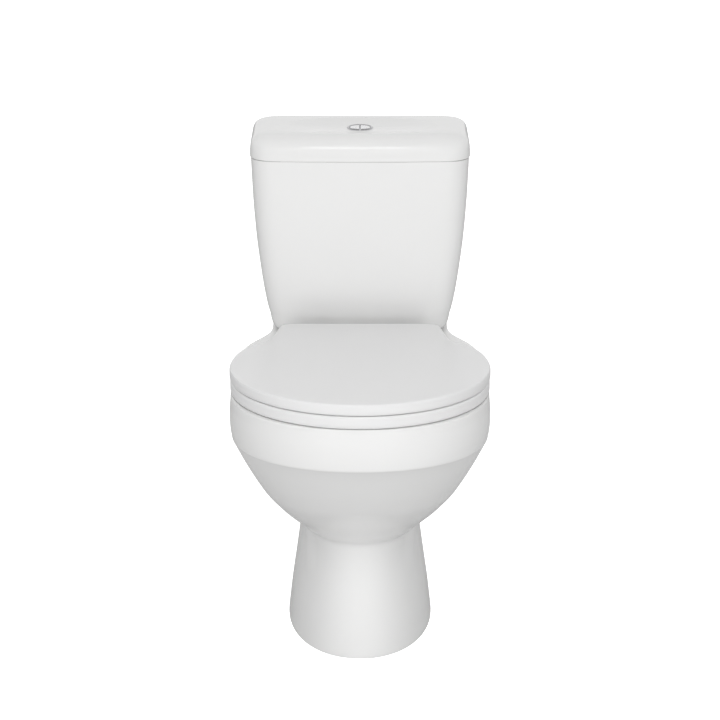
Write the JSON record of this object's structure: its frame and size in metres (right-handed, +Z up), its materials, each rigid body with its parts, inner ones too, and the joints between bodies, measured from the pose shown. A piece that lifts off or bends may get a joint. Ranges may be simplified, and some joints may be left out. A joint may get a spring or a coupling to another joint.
{
  "type": "close coupled toilet",
  "caption": "Close coupled toilet: china pan and cistern, hinged seat and lid, dual flush buttons, flush valve and float fill valve.",
  "frame": {"origin": "on the floor, under the centre of the bounding box", "axes": "+Z up, the bowl faces -Y, the wall is at +Y, +X to the right seen from the front"},
  "size_m": [0.368, 0.636, 0.711],
  "materials": {
    "china": "white gloss glaze",
    "seat_plastic": "white satin moulding",
    "chrome": "polished plate",
    "white_plastic": "plain moulding",
    "grey_plastic": "plain moulding",
    "blue_plastic": "plain moulding",
    "rubber": "matt",
    "steel": "zinc plated"
  },
  "bodies": {
    "pan_and_cistern": {"pan": "china", "cistern": "china", "cistern_lid": "china", "hinge_post_left": "chrome", "hinge_post_right": "chrome", "button_housing": "chrome", "hinge_wing_nut_left": "white_plastic", "hinge_wing_nut_right": "white_plastic", "flush_valve_back_nut": "white_plastic", "flush_valve_base": "white_plastic", "flush_valve_cage": "white_plastic", "button_nut": "white_plastic", "fill_valve_body": "white_plastic", "fill_valve_back_nut": "white_plastic", "supply_hole_plug": "white_plastic", "floor_screw_cap_left": "white_plastic", "floor_screw_cap_right": "white_plastic", "fill_valve_cap": "grey_plastic", "hinge_washer_left": "rubber", "hinge_washer_right": "rubber", "coupling_seal_left": "rubber", "coupling_seal_right": "rubber", "coupling_doughnut": "rubber", "base_washer": "rubber", "fill_valve_washer": "rubber", "hinge_pin_left": "steel", "hinge_pin_right": "steel", "hinge_stud_left": "steel", "hinge_stud_right": "steel", "coupling_bolt_left": "steel", "coupling_bolt_right": "steel", "coupling_washer_left": "steel", "coupling_washer_right": "steel", "coupling_wing_nut_left": "steel", "coupling_wing_nut_right": "steel", "lever_axle": "steel", "floor_screw_left": "steel", "floor_screw_right": "steel", "wall_screw_left": "steel", "wall_screw_right": "steel"},
    "seat": {"seat_ring": "seat_plastic", "seat_buffer_front_left": "rubber", "seat_buffer_front_right": "rubber", "seat_buffer_rear_left": "rubber", "seat_buffer_rear_right": "rubber"},
    "lid": {"seat_lid": "seat_plastic", "lid_buffer_left": "rubber", "lid_buffer_right": "rubber"},
    "full_button": {"full_flush_button": "chrome", "full_push_rod": "white_plastic", "full_button_spring": "steel"},
    "half_button": {"half_flush_button": "chrome", "half_push_rod": "white_plastic", "half_button_spring": "steel"},
    "full_lever": {"full_flush_lever": "grey_plastic"},
    "half_lever": {"half_flush_lever": "grey_plastic"},
    "flush_tube": {"flush_valve_tube": "blue_plastic", "flush_valve_seal": "rubber"},
    "float": {"fill_valve_float": "white_plastic"},
    "fill_arm": {"fill_valve_arm": "grey_plastic"}
  },
  "joints": [
    {"name": "seat_hinge", "type": "hinge", "parent": "pan_and_cistern", "child": "seat", "pos_m": [0, 0.099, 0.423], "axis": [-1, 0, 0], "range_deg": [0, 94]},
    {"name": "lid_hinge", "type": "hinge", "parent": "seat", "child": "lid", "pos_m": [0, 0.099, 0.423], "axis": [1, 0, 0], "range_deg": [-94, 0]},
    {"name": "full_button_press", "type": "slide", "parent": "pan_and_cistern", "child": "full_button", "axis": [0, 0, -1], "range_m": [0, 0.006], "stiffness_N_per_m": 300, "springref_m": -0.003},
    {"name": "half_button_press", "type": "slide", "parent": "pan_and_cistern", "child": "half_button", "axis": [0, 0, -1], "range_m": [0, 0.006], "stiffness_N_per_m": 300, "springref_m": -0.003},
    {"name": "full_lever_turn", "type": "hinge", "parent": "pan_and_cistern", "child": "full_lever", "pos_m": [0, 0.232, 0.6], "axis": [0, 1, 0], "range_deg": [0, 37]},
    {"name": "half_lever_turn", "type": "hinge", "parent": "pan_and_cistern", "child": "half_lever", "pos_m": [0, 0.242, 0.6], "axis": [0, -1, 0], "range_deg": [0, 37]},
    {"name": "flush_tube_lift", "type": "slide", "parent": "pan_and_cistern", "child": "flush_tube", "axis": [0, 0, 1], "range_m": [0, 0.0181]},
    {"name": "float_rise", "type": "slide", "parent": "pan_and_cistern", "child": "float", "axis": [0, 0, 1], "range_m": [0, 0.02]},
    {"name": "fill_arm_turn", "type": "hinge", "parent": "pan_and_cistern", "child": "fill_arm", "pos_m": [-0.102, 0.25, 0.607], "axis": [0, -1, 0], "range_deg": [0, 30.3]}
  ],
  "couplings": [
    {"joint": "full_lever_turn", "follows": "full_button_press", "rad_per_m": 107.3},
    {"joint": "flush_tube_lift", "follows": "full_button_press", "ratio": 3},
    {"joint": "half_lever_turn", "follows": "half_button_press", "rad_per_m": 107.3},
    {"joint": "fill_arm_turn", "follows": "float_rise", "rad_per_m": 26.3}
  ]
}
